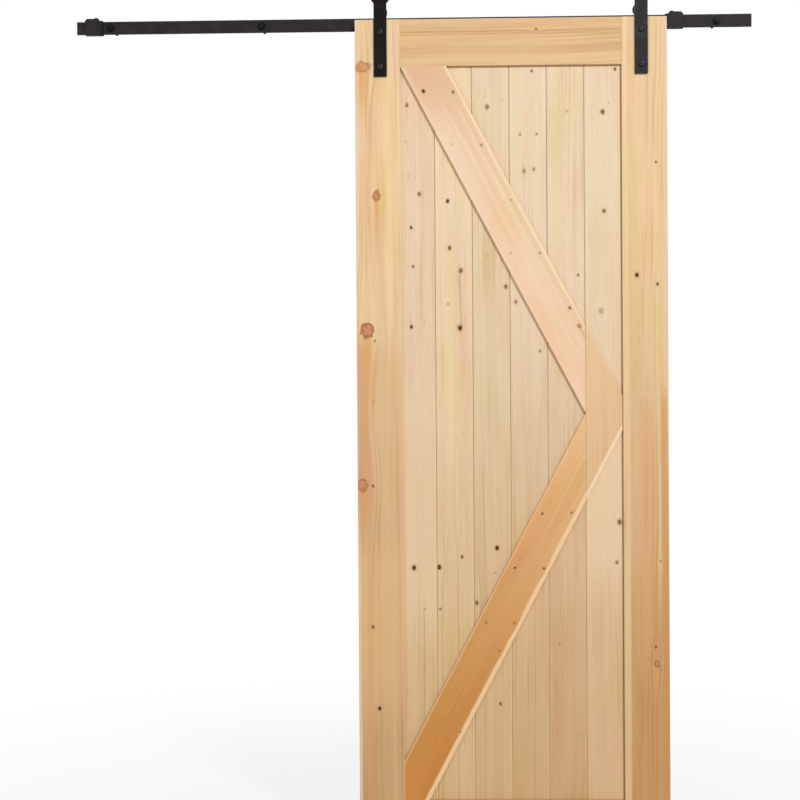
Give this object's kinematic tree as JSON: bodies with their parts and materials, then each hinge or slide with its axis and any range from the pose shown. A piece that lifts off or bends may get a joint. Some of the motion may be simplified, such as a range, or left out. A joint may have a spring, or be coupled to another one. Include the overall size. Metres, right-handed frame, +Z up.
{
  "type": "sliding partition door",
  "caption": "Sliding partition door: a braced pine plank leaf, hung by steel straps and grooved wheels from a flat wall rail with end stops and a floor guide.",
  "frame": {"origin": "on the wall's face, on the axis of the rail's middle screw", "axes": "+X along the rail to the right as seen from the room, +Y into the wall, +Z up"},
  "size_m": [2, 0.171, 2.575],
  "materials": {
    "pine_frame": "planed and lightly waxed",
    "pine_boards": "planed and lightly waxed",
    "pine_braces": "planed and lightly waxed",
    "beech": "raw",
    "black_steel": "matt black powder coat",
    "black_rubber": "matt",
    "wheel_nylon": "matt",
    "keeper_nylon": "matt",
    "bronze": "turned bronze",
    "zinc_screws": "zinc plated"
  },
  "bodies": {
    "rail": {"rail": "black_steel", "wall_spacers": "black_steel", "lag_screws": "black_steel", "lag_washers": "black_steel", "stop_left": "black_steel", "stop_right": "black_steel", "stop_pad_left": "black_rubber", "stop_pad_right": "black_rubber", "clamp_screws": "black_steel", "floor_guide": "black_steel", "floor_guide_screws": "zinc_screws"},
    "leaf": {"stile_left": "pine_frame", "stile_right": "pine_frame", "top_rail": "pine_frame", "bottom_rail": "pine_frame", "board_1": "pine_boards", "board_2": "pine_boards", "board_3": "pine_boards", "board_4": "pine_boards", "board_5": "pine_boards", "board_6": "pine_boards", "brace_upper": "pine_braces", "brace_lower": "pine_braces", "brace_block": "pine_braces", "frame_dowels": "beech", "brace_screws": "zinc_screws", "hanger_left": "black_steel", "hanger_right": "black_steel", "hanger_bolts": "black_steel", "hanger_washers": "black_steel", "hanger_nuts": "black_steel", "axle_left": "black_steel", "axle_right": "black_steel", "axle_sleeve_left": "black_steel", "axle_sleeve_right": "black_steel", "axle_nuts": "black_steel", "axle_washers": "black_steel", "keeper_left": "keeper_nylon", "keeper_right": "keeper_nylon", "keeper_screws": "zinc_screws"},
    "wheel_left": {"wheel_left": "wheel_nylon", "wheel_bush_left": "bronze"},
    "wheel_right": {"wheel_right": "wheel_nylon", "wheel_bush_right": "bronze"}
  },
  "joints": [
    {"name": "leaf_slide", "type": "slide", "parent": "rail", "child": "leaf", "axis": [1, 0, 0], "range_m": [-0.8147, 0.0623]},
    {"name": "wheel_left_spin", "type": "hinge", "parent": "leaf", "child": "wheel_left", "pos_m": [-0.094, -0.033, 0.0353], "axis": [0, 1, 0], "continuous": true},
    {"name": "wheel_right_spin", "type": "hinge", "parent": "leaf", "child": "wheel_right", "pos_m": [0.67, -0.033, 0.0353], "axis": [0, 1, 0], "continuous": true}
  ],
  "couplings": [
    {"joint": "wheel_left_spin", "follows": "leaf_slide", "rad_per_m": 62.5},
    {"joint": "wheel_right_spin", "follows": "leaf_slide", "rad_per_m": 62.5}
  ]
}
